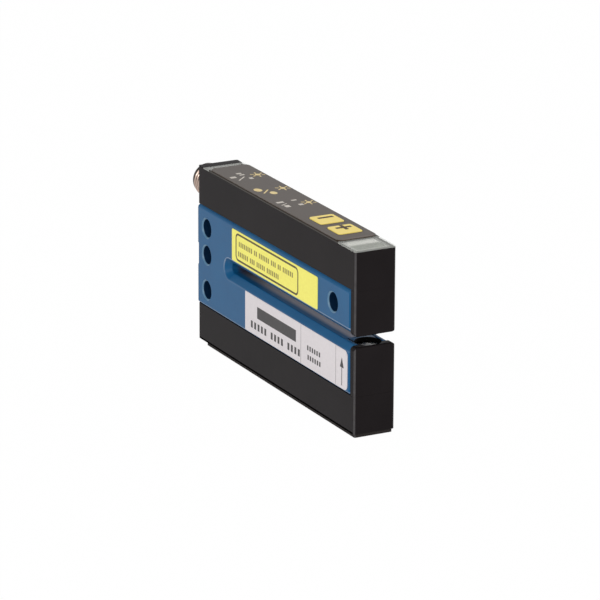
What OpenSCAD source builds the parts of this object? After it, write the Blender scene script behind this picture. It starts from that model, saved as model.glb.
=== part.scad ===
// Fork sensor for label gaps: metal fork body between two plastic housings, with a plug at the back.
// Frame: X from the back towards the open fork tips, labels face -Y, Z up; the bottom cover stands on Z = 0.
// All sizes are in millimetres.

/* [Overall] */
// Length of the body from its back face to the fork tips
body_l = 74; // [68:0.5:90]
// Thickness of the black housings across the two flat sides
body_t = 9.8; // [9.4:0.1:11]
// Height of the metal fork body
metal_h = 23.4; // [22.6:0.2:28]
// Height of the lower housing
low_h = 8.4; // [8:0.1:11]
// Height of the upper housing up to the seat of the clear lid
up_h = 8.55; // [8.3:0.05:10]
// Thickness of the bottom cover below the lower housing
foot_h = 0.8; // [0.7:0.1:1.6]
// Radius of the upright corners of the black housings
corner_r = 0.5; // [0.3:0.05:0.7]

/* [Fork slot] */
// Depth of the slot, from the tips to its round inner end
slot_depth = 59.5; // [50:0.5:60]
// Clear gap between the two arms
slot_gap = 2.3; // [1.8:0.1:2.6]
// Bevel along both edges of the slot
slot_bevel = 1.4; // [1:0.05:1.5]
// Height of the slot's middle above the middle of the metal body
slot_up = 0.4; // [0:0.1:0.6]

/* [Metal edges] */
// How far each metal side face stands proud of the black housings
metal_proud = 0.2; // [0.1:0.05:0.4]
// Bevel along the upper edges of the metal side faces
edge_bevel = 0.8; // [0.3:0.05:0.8]
// Bevel along the lower edges of the metal side faces
low_bevel = 0.5; // [0.3:0.05:0.6]
// Bevel along the upright edges of the metal side faces
end_bevel = 0.3; // [0.2:0.05:0.5]
// Height of the shallow notch in the back face
notch_h = 5.1; // [3:0.1:6]
// Depth of the shallow notch in the back face
notch_depth = 0.6; // [0.3:0.1:0.8]

/* [Mounting holes] */
// Diameter of the four mounting holes
hole_d = 4.2; // [3.2:0.1:4.5]
// Chamfer at each mouth of the mounting holes
hole_chamfer = 0.3; // [0.1:0.05:0.4]
// Distance of the three back holes from the back face
hole_back = 4.5; // [4.2:0.1:4.7]
// Distance of the front hole from the fork tips
hole_front = 9.5; // [9.3:0.1:14]
// Height of the upper back hole and the front hole above the slot's middle
hole_upper = 6.45; // [6.2:0.05:6.8]
// Height of the middle back hole above the slot's middle
hole_middle = 0.2; // [0:0.1:0.4]
// Depth of the lower back hole below the slot's middle
hole_lower = 8; // [7.4:0.1:8.4]

/* [Tip optics] */
// Length of the black tip blocks beyond the metal body
cap_l = 1.85; // [1.6:0.05:3]
// Distance of the light beam from the tips
beam_in = 3.1; // [3.1:0.1:3.4]
// Diameter of the round opening in each tip block
aperture_d = 5; // [4.4:0.1:5]
// Depth of the window below the slot face
aperture_depth = 0.7; // [0.4:0.1:0.9]
// Corner radius of the tip blocks beside the slot
tip_r = 1; // [0.4:0.05:1.2]
// Radius of the lead-in edge at the end of each tip block
lead_r = 0.45; // [0.2:0.05:0.6]

/* [Top cover] */
// Thickness of the clear lid
lid_t = 0.4; // [0.4:0.05:0.8]
// Thickness of the keypad foil
foil_t = 0.2; // [0.15:0.05:0.3]
// Length of the raised rim at the back end
rim_l = 2.6; // [2.4:0.1:3.2]
// Height of the rim above the seat of the clear lid
rim_h = 0.2; // [0.1:0.05:0.4]
// Length of clear lid left bare at the back, behind the foil
foil_back = 2.6; // [2.2:0.1:4]
// Length of the bare window at the tip end
window_l = 7.6; // [7.4:0.1:9]
// Distance of each long foil edge from the side of the lid
foil_inset = 0.2; // [0.1:0.05:0.4]

/* [Keys] */
// Length and width of one key pad
key_size = 5.8; // [5:0.1:6]
// Distance between the two keys
key_pitch = 8.2; // [7.4:0.1:8.6]
// Distance of the plus key's middle from the front end of the foil
key_front = 6.7; // [5:0.1:8]
// Offset of the key pads from the middle of the foil, away from the labels
key_offset = 0.3; // [0:0.05:0.4]
// Height of a key above the foil at rest
key_proud = 0.15; // [0.15:0.05:0.3]
// Travel of a key when it is pressed
key_travel = 0.25; // [0.15:0.05:0.25]

/* [Connector] */
// Diameter of the threaded plug end
thread_d = 7.8; // [7.8:0.1:8]
// Length of the threaded plug end
thread_l = 5.35; // [5:0.05:8]
// Height of the plug axis above the metal body
plug_up = 3.65; // [3.6:0.05:4]

/* [Labels] */
// Length of the yellow label
yellow_l = 40.5; // [30:0.1:42]
// Height of the yellow label
yellow_h = 7.3; // [6:0.1:7.4]
// Distance of the yellow label's end from the fork tips
yellow_front = 16.2; // [16:0.1:20]
// Length of the white label
white_l = 47.6; // [30:0.1:48]
// Distance of the white label's end from the fork tips
white_front = 2.6; // [2.5:0.1:8]
// Corner radius at the tip end of the white label
white_r = 1.3; // [0.5:0.1:2]

/* [Walls and clearances] */
// Side wall of both housings
wall = 0.9; // [0.8:0.05:1.1]
// Floor of the upper housing and ceiling of the lower one
deck_t = 1; // [0.8:0.1:1.2]
// End wall at the tips of both housings
end_wall = 1.2; // [1:0.1:1.4]
// Gap around the tip blocks in the metal body
gap_block = 0.1; // [0.05:0.01:0.15]
// Gap around a key pad in the foil and the lid
gap_key = 0.15; // [0.1:0.01:0.2]
// Gap around boards, discs and round inner pieces
gap_in = 0.1; // [0.05:0.01:0.15]

/* [Output] */
// Piece to draw

/* [Hidden] */
$fn = 48;

blue = [0.20, 0.40, 0.62];
black = [0.16, 0.15, 0.15];
xb = -body_l/2;                 // back face
xt = body_l/2;                  // fork tips
xm = xt - cap_l;                // front end of the metal body
metal_t = body_t + 2*metal_proud;
z1 = foot_h;                    // underside of the lower housing
z2 = z1 + low_h;                // underside of the metal body
z3 = z2 + metal_h;              // top of the metal body
z4 = z3 + up_h;                 // seat of the clear lid
z5 = z4 + lid_t;                // top of the clear lid
z6 = z5 + foil_t;               // top of the foil
zc = z2 + metal_h/2 + slot_up;  // middle of the slot
up_half = z3 - zc;              // metal above the slot's middle
low_half = zc - z2;             // metal below it
cut = 1;                        // overshoot of every cutter

// slot
slot_half = slot_gap/2;
slot_xc = xt - slot_depth + slot_half;
mouth_half = slot_half + slot_bevel;

// tip blocks, in heights above the slot's middle
beam_x = xt - beam_in;
block_wall = 0.35;
tongue_wall = 1.1;              // tip block behind its round opening
block_half = aperture_d/2 + block_wall;
pocket_half = block_half + gap_block;
block_x0 = beam_x - aperture_d/2 - tongue_wall;
pocket_x0 = block_x0 - gap_block;
disc_t = 0.8;
disc_h0 = slot_half + aperture_depth;
disc_h1 = disc_h0 + disc_t;
disc_r = aperture_d/2 - gap_in;
lens_r = 1.8;
lens_t = 1.2;
lens_h1 = disc_h1 + 2.6;
can_r = 1.35;
can_l = 2;
flange_r = 1.9;
flange_t = 1;
flange_h0 = lens_h1 + 3.2;
lead_wire_r = 0.22;
lead_wire_ring = 0.7;
lead_stub = 0.4;                // lead wire beyond the board

// boards
board_t = 0.8;
board_up = plug_up - board_t/2; // board above the metal, and below it in the lower housing
board_z1 = z3 + board_up + board_t;     // top of the main board
recv_z0 = z2 - board_up - board_t;      // underside of the receiver board
board_half = body_t/2 - wall - gap_in - 0.1;
ledge_w = 0.8;
main_x0 = xb + rim_l + 2;
board_end = 0.4;                // boards short of the end wall
main_x1 = xt - end_wall - board_end;
recv_back = 8.4;                // receiver board behind the beam
recv_x0 = beam_x - recv_back;
chip_front = 4;                 // chips from the middle of the free board
chip_back = 8;

// lead through the yoke
flex_t = 0.3;
flex_half = 2.3;
flex_x = xb + hole_back + 4.5;
yoke_w = 2;
yoke_half = 2.6;
flex_bend = 1.2;
plug_t = 1.4;
flex_z = recv_z0 - plug_t/2;
recv_plug_x0 = recv_x0 + 1;
recv_plug_l = 3;
link_plug_half = 2;

// lower cavity and cover
low_x0 = xb + 4.7;
low_x1 = xt - end_wall;
cover_x0 = xb + 3.5;
cover_x1 = xt - 0.3;
cover_half = body_t/2 - 0.35;
cover_lip = 0.6;
cover_groove = 0.25;
lip_w = 0.7;
post_r = 0.8;                   // posts of the cover that carry the receiver board
post_back = 2.4;                // posts behind the beam
post_in = 1.6;                  // posts in from the board's long edges

// top
rim_x1 = xb + rim_l;
foil_x0 = rim_x1 + foil_back;
foil_x1 = xt - window_l;
foil_half = body_t/2 - foil_inset;
foil_r = 1.5;
plus_x = foil_x1 - key_front;
minus_x = plus_x - key_pitch;
key_r = 0.6;
pad_z0 = z5 - 0.15;
pad_z1 = z6 + key_proud;
stem = 2.4;
switch_h = 1.5;
switch_w = 4;
plunger_r = 0.9;
plunger_z1 = board_z1 + switch_h + 0.5;

// indicator lamps and the light guide over them
led_h = 0.6;
led_l = 0.8;
led_w = 1.6;
led_gap = 0.6;                  // between the two lamps
led_x1 = beam_x - flange_r - 1.5;
guide_back = 1;                 // guide behind the lamps
guide_gap = 0.4;                // guide to the housing walls

// connector
plug_z = z3 + plug_up;
seal_t = 0.3;
seal_r = 3.5;
thread_x1 = xb - seal_t;
thread_x0 = thread_x1 - thread_l;
shank_r = 3.2;
socket_r = 3.1;
insert_r = 2.45;
socket_floor = thread_x1 - 0.7;
shank_x1 = rim_x1 + 0.6;
pin_r = 0.4;
pin_dy = 1.3;
pin_dz = board_t/2 + pin_r + 0.02;

// screws
screw_r = 0.95;
screw_head_r = 1.75;
screw_head_t = 1.2;
screw_l = 5;
screw_back = 7;                 // back screws in front of the slot's inner end
screw_front = 7.5;              // front screws behind the front hole
screw_back_x = slot_xc + screw_back;
screw_front_x = xt - hole_front - screw_front;

// labels
label_t = 0.1;
label_y = -metal_t/2;
yellow_z0 = zc + mouth_half + 0.2;
white_z1 = zc - mouth_half - 0.05;
white_z0 = z2 + low_bevel + 0.1;

// flat shape with four round corners
module round_rect(x0, x1, y0, y1, r) {
  translate([x0 + r, y0]) square([x1 - x0 - 2*r, y1 - y0]);
  translate([x0, y0 + r]) square([x1 - x0, y1 - y0 - 2*r]);
  for (x = [x0 + r, x1 - r], y = [y0 + r, y1 - r]) translate([x, y]) circle(r = r);
}

// box given by its two corners
module box(x0, x1, y0, y1, z0, z1) {
  translate([x0, y0, z0]) cube([x1 - x0, y1 - y0, z1 - z0]);
}

// round bar along X
module bar_x(x0, x1, r, y = 0, z = 0) {
  translate([x0, y, z]) rotate([0, 90, 0]) cylinder(h = x1 - x0, r = r);
}

// profile drawn in Y and Z, run along X
module along_x(x0, x1) {
  translate([x0, 0, 0]) rotate([90, 0, 90]) linear_extrude(height = x1 - x0) children();
}

// profile drawn in X and Z, run along Y
module along_y(y0, y1) {
  translate([0, y1, 0]) rotate([90, 0, 0]) linear_extrude(height = y1 - y0) children();
}

// puts a piece drawn above the slot's middle into the upper arm, or mirrored into the lower arm
module in_arm(upper) {
  translate([0, 0, zc]) mirror([0, 0, upper ? 0 : 1]) children();
}

// plate with bevelled edges that the metal body is cut from
module metal_blank() {
  h = metal_t/2;
  intersection() {
    along_x(xb, xm) polygon([[-h + low_bevel, z2], [h - low_bevel, z2], [h, z2 + low_bevel],
      [h, z3 - edge_bevel], [h - edge_bevel, z3], [-h + edge_bevel, z3], [-h, z3 - edge_bevel],
      [-h, z2 + low_bevel]]);
    translate([0, 0, z2 - cut]) linear_extrude(height = metal_h + 2*cut)
      polygon([[xb, -h + end_bevel], [xb + end_bevel, -h], [xm - end_bevel, -h], [xm, -h + end_bevel],
        [xm, h - end_bevel], [xm - end_bevel, h], [xb + end_bevel, h], [xb, h - end_bevel]]);
  }
}

// slot with its round inner end and 45 degree edges
module slot_cut() {
  h = metal_t/2;
  along_x(slot_xc, xt + cut) polygon([[-h - cut, -mouth_half - cut], [-h + slot_bevel, -slot_half],
    [h - slot_bevel, -slot_half], [h + cut, -mouth_half - cut], [h + cut, mouth_half + cut],
    [h - slot_bevel, slot_half], [-h + slot_bevel, slot_half], [-h - cut, mouth_half + cut]]);
  translate([slot_xc, h + cut, 0]) rotate([90, 0, 0]) rotate_extrude()
    polygon([[0, 0], [mouth_half + cut, 0], [slot_half, slot_bevel + cut],
      [slot_half, 2*h + cut - slot_bevel], [mouth_half + cut, 2*h + 2*cut], [0, 2*h + 2*cut]]);
}

// chamfered mounting hole through the full thickness
module side_hole(x, z) {
  h = metal_t/2;
  r = hole_d/2;
  c = hole_chamfer;
  translate([x, h + cut, z]) rotate([90, 0, 0]) rotate_extrude()
    polygon([[0, 0], [r + c + cut, 0], [r, c + cut], [r, 2*h + cut - c], [r + c + cut, 2*h + 2*cut],
      [0, 2*h + 2*cut]]);
}

module fork_body() {
  color(blue) difference() {
    metal_blank();
    translate([0, 0, zc]) slot_cut();
    side_hole(xb + hole_back, zc + hole_upper);
    side_hole(xb + hole_back, zc + hole_middle);
    side_hole(xb + hole_back, zc - hole_lower);
    side_hole(xt - hole_front, zc + hole_upper);
    box(xb - cut, xb + notch_depth, -metal_t, metal_t, (z2 + z3 - notch_h)/2, (z2 + z3 + notch_h)/2);
    box(flex_x - yoke_w/2, flex_x + yoke_w/2, -yoke_half, yoke_half, z2 - cut, z3 + cut);
    box(pocket_x0, xm + cut, -pocket_half, pocket_half, z2 - cut, z3 + cut);
    for (x = [screw_back_x, screw_front_x], s = [0, 1])
      in_arm(s == 0) translate([x, 0, (s == 0 ? up_half : low_half) - screw_l + 0.6])
        cylinder(h = screw_l + cut, r = screw_r + 0.05);
  }
}

// housing trough drawn above the slot's middle, on metal of height m: walls, deck, board ledges and openings
module trough(m, x0, x1, height, ledge_x0) {
  deck = m + deck_t;
  difference() {
    translate([0, 0, m]) linear_extrude(height = height)
      round_rect(xb, xt, -body_t/2, body_t/2, corner_r);
    box(x0, x1, -body_t/2 + wall, body_t/2 - wall, deck, m + height + cut);
    box(flex_x - yoke_w/2, flex_x + yoke_w/2, -yoke_half, yoke_half, m - cut, deck + cut);
    translate([beam_x, 0, m - cut]) cylinder(h = deck_t + 2*cut, r = 1.6);
    for (x = [screw_back_x, screw_front_x]) translate([x, 0, m - cut])
      cylinder(h = deck_t + 2*cut, r = screw_r + 0.15);
  }
  for (s = [-1, 1]) mirror([0, s > 0 ? 0 : 1, 0])
    box(ledge_x0, x1, body_t/2 - wall - ledge_w, body_t/2 - wall, deck, m + board_up);
}

module upper_housing() {
  color(black) {
    difference() {
      union() {
        in_arm(true) trough(up_half, rim_x1, xt - end_wall, up_h, main_x0 + 1);
        translate([0, 0, z4]) linear_extrude(height = rim_h) intersection() {
          round_rect(xb, xb + 2*rim_l, -body_t/2, body_t/2, corner_r);
          translate([xb, -body_t]) square([rim_l, 2*body_t]);
        }
      }
      bar_x(xb - cut, rim_x1 + cut, shank_r + gap_in, 0, plug_z);
    }
  }
}

module lower_housing() {
  color(black) in_arm(false) trough(low_half, low_x0, low_x1, low_h, recv_x0 - 0.5);
}

module bottom_cover() {
  h = cover_half;
  g = cover_groove;
  lip_half = body_t/2 - wall - gap_in;
  color(black) {
    intersection() {
      along_x(cover_x0, cover_x1) polygon([[-h, 0], [h, 0], [h, foot_h - g], [h - g, foot_h],
        [-h + g, foot_h], [-h, foot_h - g]]);
      linear_extrude(height = foot_h) round_rect(cover_x0, cover_x1, -h, h, 0.4);
    }
    difference() {
      box(low_x0 + gap_in, low_x1 - gap_in, -lip_half, lip_half, foot_h, foot_h + cover_lip);
      box(low_x0 + gap_in + lip_w, low_x1 - gap_in - lip_w, -lip_half + lip_w, lip_half - lip_w, foot_h,
        foot_h + cover_lip + cut);
    }
    for (y = [-1, 1]) translate([beam_x - post_back, y*(board_half - post_in), foot_h])
      cylinder(h = recv_z0 - foot_h, r = post_r);
  }
}

// tip block drawn above the slot's middle, m high: end plate, tongue and stepped bore for the optics
module tip_block(m) {
  h = body_t/2;
  difference() {
    union() {
      intersection() {
        along_x(xm, xt) union() {
          translate([-h, slot_half + tip_r]) square([2*h, m - slot_half - tip_r]);
          translate([-h + tip_r, slot_half]) square([2*h - 2*tip_r, m - slot_half]);
          for (s = [-1, 1]) translate([s*(h - tip_r), slot_half + tip_r]) circle(r = tip_r);
        }
        along_y(-h, h) union() {
          translate([xm, slot_half]) square([cap_l - lead_r, m - slot_half]);
          translate([xm, slot_half + lead_r]) square([cap_l, m - slot_half - lead_r]);
          translate([xt - lead_r, slot_half + lead_r]) circle(r = lead_r);
        }
        linear_extrude(height = m) round_rect(xm - 2, xt, -h, h, corner_r);
      }
      box(block_x0, xm + 0.5, -block_half, block_half, slot_half, m);
    }
    translate([beam_x, 0, 0]) rotate_extrude()
      polygon([[0, slot_half - cut], [aperture_d/2, slot_half - cut], [aperture_d/2, disc_h1],
        [lens_r + gap_in, disc_h1], [lens_r + gap_in, lens_h1], [can_r + 0.15, lens_h1],
        [can_r + 0.15, flange_h0], [flange_r + gap_in, flange_h0], [flange_r + gap_in, m + cut],
        [0, m + cut]]);
  }
}

module emitter_holder() {
  color(black) in_arm(true) tip_block(up_half);
}

module receiver_holder() {
  color(black) in_arm(false) tip_block(low_half);
}

// optics drawn above the slot's middle
module window_disc() {
  translate([beam_x, 0, disc_h0]) cylinder(h = disc_t, r = disc_r);
}

module lens_shape() {
  dome = 0.5;
  ball = (lens_r*lens_r + dome*dome)/(2*dome);
  translate([beam_x, 0, 0]) {
    translate([0, 0, lens_h1 - lens_t + dome]) cylinder(h = lens_t - dome, r = lens_r);
    intersection() {
      translate([0, 0, lens_h1 - lens_t + ball]) sphere(r = ball);
      translate([0, 0, lens_h1 - lens_t]) cylinder(h = dome, r = lens_r);
    }
  }
}

module diode_shape(m) {
  translate([beam_x, 0, 0]) {
    translate([0, 0, flange_h0 - can_l]) cylinder(h = can_l, r = can_r);
    translate([0, 0, flange_h0]) cylinder(h = flange_t, r = flange_r);
    for (a = [90, 210, 330]) rotate([0, 0, a]) translate([lead_wire_ring, 0, flange_h0 + flange_t])
      cylinder(h = m + board_up + board_t + lead_stub - flange_h0 - flange_t, r = lead_wire_r);
  }
}

module emitter_window() {
  color([0.85, 0.9, 0.92]) in_arm(true) window_disc();
}

module collimator_lens() {
  color([0.85, 0.9, 0.95]) in_arm(true) lens_shape();
}

module laser_diode() {
  color([0.8, 0.68, 0.36]) in_arm(true) diode_shape(up_half);
}

module receiver_window() {
  color([0.85, 0.9, 0.92]) in_arm(false) window_disc();
}

module receiver_lens() {
  color([0.85, 0.9, 0.95]) in_arm(false) lens_shape();
}

module photodiode() {
  color([0.75, 0.75, 0.78]) in_arm(false) diode_shape(low_half);
}

// strip with a small bevel around its top and a ramp down to the rim at the back
module clear_lid() {
  h = body_t/2;
  c = 0.12;
  ramp = 2;
  k = key_size/2 + gap_key;
  color([0.8, 0.84, 0.82]) difference() {
    intersection() {
      along_x(rim_x1, xt) polygon([[-h, z4], [h, z4], [h, z5 - c], [h - c, z5], [-h + c, z5], [-h, z5 - c]]);
      along_y(-h, h) polygon([[rim_x1, z4], [xt, z4], [xt, z5 - c], [xt - c, z5], [rim_x1 + ramp, z5],
        [rim_x1, z4 + rim_h]]);
      translate([0, 0, z4]) linear_extrude(height = lid_t) round_rect(rim_x1 - 2, xt, -h, h, corner_r);
    }
    for (x = [minus_x, plus_x]) translate([0, 0, z4 - cut]) linear_extrude(height = lid_t + 2*cut)
      round_rect(x - k, x + k, key_offset - k, key_offset + k, key_r + gap_key);
  }
}

module keypad_foil() {
  k = key_size/2 + gap_key;
  color([0.35, 0.33, 0.32]) translate([0, 0, z5]) linear_extrude(height = foil_t) difference() {
    round_rect(foil_x0, foil_x1, -foil_half, foil_half, foil_r);
    for (x = [minus_x, plus_x])
      round_rect(x - k, x + k, key_offset - k, key_offset + k, key_r + gap_key);
  }
}

module key_shape(x) {
  k = key_size/2;
  translate([0, 0, pad_z0]) linear_extrude(height = pad_z1 - pad_z0)
    round_rect(x - k, x + k, key_offset - k, key_offset + k, key_r);
  box(x - stem/2, x + stem/2, -stem/2, stem/2, plunger_z1, pad_z0);
}

module minus_key() {
  color([0.95, 0.85, 0.45]) key_shape(minus_x);
}

module plus_key() {
  color([0.95, 0.85, 0.45]) key_shape(plus_x);
}

module plunger_shape(x) {
  translate([x, 0, board_z1 + 0.2 + key_travel])
    cylinder(h = plunger_z1 - board_z1 - 0.2 - key_travel, r = plunger_r);
}

module minus_plunger() {
  color([0.3, 0.3, 0.32]) plunger_shape(minus_x);
}

module plus_plunger() {
  color([0.3, 0.3, 0.32]) plunger_shape(plus_x);
}

module switch_shape(x) {
  difference() {
    box(x - switch_w/2, x + switch_w/2, -switch_w/2, switch_w/2, board_z1, board_z1 + switch_h);
    translate([x, 0, board_z1 + 0.15]) cylinder(h = switch_h + cut, r = plunger_r + 0.3);
  }
}

module minus_switch() {
  color([0.7, 0.7, 0.72]) switch_shape(minus_x);
}

module plus_switch() {
  color([0.7, 0.7, 0.72]) switch_shape(plus_x);
}

// board drawn above the slot's middle, over metal of height m, with the three lead holes
module board_shape(m, x0, x1) {
  difference() {
    box(x0, x1, -board_half, board_half, m + board_up, m + board_up + board_t);
    translate([beam_x, 0, 0]) for (a = [90, 210, 330]) rotate([0, 0, a])
      translate([lead_wire_ring, 0, m + board_up - cut]) cylinder(h = board_t + 2*cut, r = lead_wire_r + 0.08);
  }
}

module main_board() {
  color([0.1, 0.4, 0.22]) in_arm(true) board_shape(up_half, main_x0, main_x1);
}

module receiver_board() {
  color([0.1, 0.4, 0.22]) in_arm(false) board_shape(low_half, recv_x0, main_x1);
}

module controller_chip() {
  x = (main_x0 + minus_x)/2 + chip_front;
  color([0.12, 0.12, 0.13]) box(x - 2.5, x + 2.5, -2.5, 2.5, board_z1, board_z1 + 0.9);
}

module driver_chip() {
  x = (main_x0 + minus_x)/2 - chip_back;
  color([0.12, 0.12, 0.13]) box(x - 2.5, x + 2.5, -2, 2, board_z1, board_z1 + 1.4);
}

module led_shape(y0) {
  box(led_x1 - led_l, led_x1, y0, y0 + led_w, board_z1, board_z1 + led_h);
}

module power_led() {
  color([0.3, 0.7, 0.4]) led_shape(-led_gap/2 - led_w);
}

module output_led() {
  color([0.85, 0.7, 0.25]) led_shape(led_gap/2);
}

module light_guide() {
  h = body_t/2 - wall - guide_gap;
  color([0.92, 0.92, 0.9])
    box(led_x1 - led_l - guide_back, xt - end_wall - guide_gap, -h, h, board_z1 + led_h, z4);
}

module link_plug() {
  color([0.85, 0.82, 0.75])
    box(flex_x - link_plug_half, flex_x + link_plug_half, -yoke_half, yoke_half, z3 + board_up - plug_t,
      z3 + board_up);
}

module receiver_plug() {
  color([0.85, 0.82, 0.75])
    box(recv_plug_x0, recv_plug_x0 + recv_plug_l, -yoke_half, yoke_half, recv_z0 - plug_t, recv_z0);
}

module link_flex() {
  x0 = flex_x - flex_t/2;
  r = flex_bend + flex_t;
  zt = z3 + board_up - plug_t;
  color([0.75, 0.5, 0.2]) along_y(-flex_half, flex_half) {
    translate([x0, flex_z - flex_t/2 + r]) square([flex_t, zt - flex_z + flex_t/2 - r]);
    translate([x0 + r, flex_z - flex_t/2]) square([recv_plug_x0 - x0 - r, flex_t]);
    intersection() {
      translate([x0 + r, flex_z - flex_t/2 + r]) difference() {
        circle(r = r);
        circle(r = flex_bend);
      }
      translate([x0, flex_z - flex_t/2]) square([r, r]);
    }
  }
}

module connector_shell() {
  r = thread_d/2;
  color([0.78, 0.72, 0.68]) translate([thread_x0, 0, plug_z]) rotate([0, 90, 0]) rotate_extrude()
    polygon([[socket_r, 0], [r - 0.45, 0], [r, 0.45], [r, thread_l], [shank_r, thread_l],
      [shank_r, shank_x1 - thread_x0], [insert_r + 0.05, shank_x1 - thread_x0],
      [insert_r + 0.05, socket_floor - thread_x0], [socket_r, socket_floor - thread_x0]]);
}

module connector_insert() {
  color([0.1, 0.1, 0.1]) difference() {
    union() {
      bar_x(socket_floor - 0.6, socket_floor, socket_r - 0.05, 0, plug_z);
      bar_x(socket_floor, shank_x1 + 0.6, insert_r, 0, plug_z);
    }
    for (y = [-pin_dy, pin_dy], z = [-pin_dz, pin_dz])
      bar_x(socket_floor - 2, shank_x1 + 2, pin_r + 0.03, y, plug_z + z);
  }
}

module pin_shape(y, z) {
  color([0.85, 0.7, 0.35]) bar_x(thread_x0 + 0.7, main_x0 + 1.4, pin_r, y*pin_dy, plug_z + z*pin_dz);
}

module connector_pin_1() { pin_shape(-1, 1); }
module connector_pin_2() { pin_shape(1, 1); }
module connector_pin_3() { pin_shape(1, -1); }
module connector_pin_4() { pin_shape(-1, -1); }

module connector_seal() {
  color([0.08, 0.08, 0.08]) difference() {
    bar_x(thread_x1, xb, seal_r, 0, plug_z);
    bar_x(thread_x1 - cut, xb + cut, shank_r + 0.05, 0, plug_z);
  }
}

module screw_shape(m, x) {
  color([0.6, 0.6, 0.62]) translate([x, 0, m + deck_t]) {
    difference() {
      cylinder(h = screw_head_t, r = screw_head_r);
      translate([0, 0, screw_head_t - 0.5]) cylinder(h = 1, r = 0.7, $fn = 6);
    }
    translate([0, 0, -screw_l]) cylinder(h = screw_l, r = screw_r);
  }
}

module upper_screw_back() { in_arm(true) screw_shape(up_half, screw_back_x); }
module upper_screw_front() { in_arm(true) screw_shape(up_half, screw_front_x); }
module lower_screw_back() { in_arm(false) screw_shape(low_half, screw_back_x); }
module lower_screw_front() { in_arm(false) screw_shape(low_half, screw_front_x); }

module yellow_label() {
  x1 = xt - yellow_front;
  color([0.97, 0.88, 0.2]) along_y(label_y - label_t, label_y)
    round_rect(x1 - yellow_l, x1, yellow_z0, yellow_z0 + yellow_h, 0.4);
}

module white_label() {
  x1 = xt - white_front;
  color([0.88, 0.87, 0.88]) along_y(label_y - label_t, label_y) {
    round_rect(x1 - white_l, x1, white_z0, white_z1, white_r);
    translate([x1 - white_l, white_z0]) square([2*white_r, white_z1 - white_z0]);
  }
}

fork_body();
upper_housing();
lower_housing();
bottom_cover();
emitter_holder();
receiver_holder();
clear_lid();
keypad_foil();
minus_key();
plus_key();
minus_plunger();
plus_plunger();
minus_switch();
plus_switch();
main_board();
receiver_board();
controller_chip();
driver_chip();
power_led();
output_led();
light_guide();
emitter_window();
collimator_lens();
laser_diode();
receiver_window();
receiver_lens();
photodiode();
link_plug();
receiver_plug();
link_flex();
connector_shell();
connector_insert();
connector_pin_1();
connector_pin_2();
connector_pin_3();
connector_pin_4();
connector_seal();
upper_screw_back();
upper_screw_front();
lower_screw_back();
lower_screw_front();
yellow_label();
white_label();
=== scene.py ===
# Fork sensor for label gaps, dressed for a white studio view.
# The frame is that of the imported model: X runs from the plug at the back to the open fork tips, the labels
# face -Y, and Z points up. Sizes and places are written in millimetres, and MM turns them to metres.
import math

import bmesh
import bpy
from mathutils import Matrix, Vector


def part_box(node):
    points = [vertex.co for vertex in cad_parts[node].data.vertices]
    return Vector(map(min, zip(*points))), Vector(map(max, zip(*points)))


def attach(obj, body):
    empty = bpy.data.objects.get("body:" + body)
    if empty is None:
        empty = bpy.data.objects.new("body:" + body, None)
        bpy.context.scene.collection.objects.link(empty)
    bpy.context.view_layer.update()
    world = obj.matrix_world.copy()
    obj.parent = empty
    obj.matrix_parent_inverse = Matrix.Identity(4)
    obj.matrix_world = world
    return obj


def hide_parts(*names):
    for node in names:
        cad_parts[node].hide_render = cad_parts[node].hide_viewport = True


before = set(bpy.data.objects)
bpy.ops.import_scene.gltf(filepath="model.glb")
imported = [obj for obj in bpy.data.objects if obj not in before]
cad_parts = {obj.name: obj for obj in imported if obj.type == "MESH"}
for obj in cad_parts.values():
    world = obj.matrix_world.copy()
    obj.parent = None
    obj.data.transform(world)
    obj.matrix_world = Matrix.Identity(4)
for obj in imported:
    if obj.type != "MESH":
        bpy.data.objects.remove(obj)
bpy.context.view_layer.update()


# Metal fork body
# A die-cast aluminium plate with one long open slot between its two arms. Slot, bevels and holes are
# machined after casting, then the whole plate is painted blue, which rounds every edge a little.
MM = 0.001
skin_depth = 0.02 * MM       # how deep the bump of a finish goes
crease = math.radians(35)    # edges that turn more than this stay crisp


def linear(code):
    """A linear colour from an sRGB hex value."""
    levels = [int(code[i:i + 2], 16) / 255 for i in (1, 3, 5)]
    return [c / 12.92 if c <= 0.04045 else ((c + 0.055) / 1.055) ** 2.4 for c in levels] + [1]


def add(tree, kind, inputs=None, stops=(), **settings):
    """Adds a shader node with its settings. An input, by name or number, is a value or a socket to link
    from; 6 and 7 are the colours of a mix. Stops are the places and hex colours along a colour ramp."""
    node = tree.nodes.new(kind)
    for name, value in settings.items():
        setattr(node, name, value)
    for name, value in (inputs or {}).items():
        if isinstance(value, bpy.types.NodeSocket):
            tree.links.new(value, node.inputs[name])
        else:
            node.inputs[name].default_value = value
    if stops:
        ramp = node.color_ramp.elements
        ramp[0].position = stops[0][0]
        ramp[1].position = stops[-1][0]
        for at, _ in stops[1:-1]:
            ramp.new(at)
        for stop, (_, code) in zip(ramp, stops):
            stop.color = linear(code)
    return node


def new_material(name):
    """An empty material and its node tree."""
    material = bpy.data.materials.new(name)
    material.use_nodes = True
    material.node_tree.nodes.clear()
    return material, material.node_tree


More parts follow.
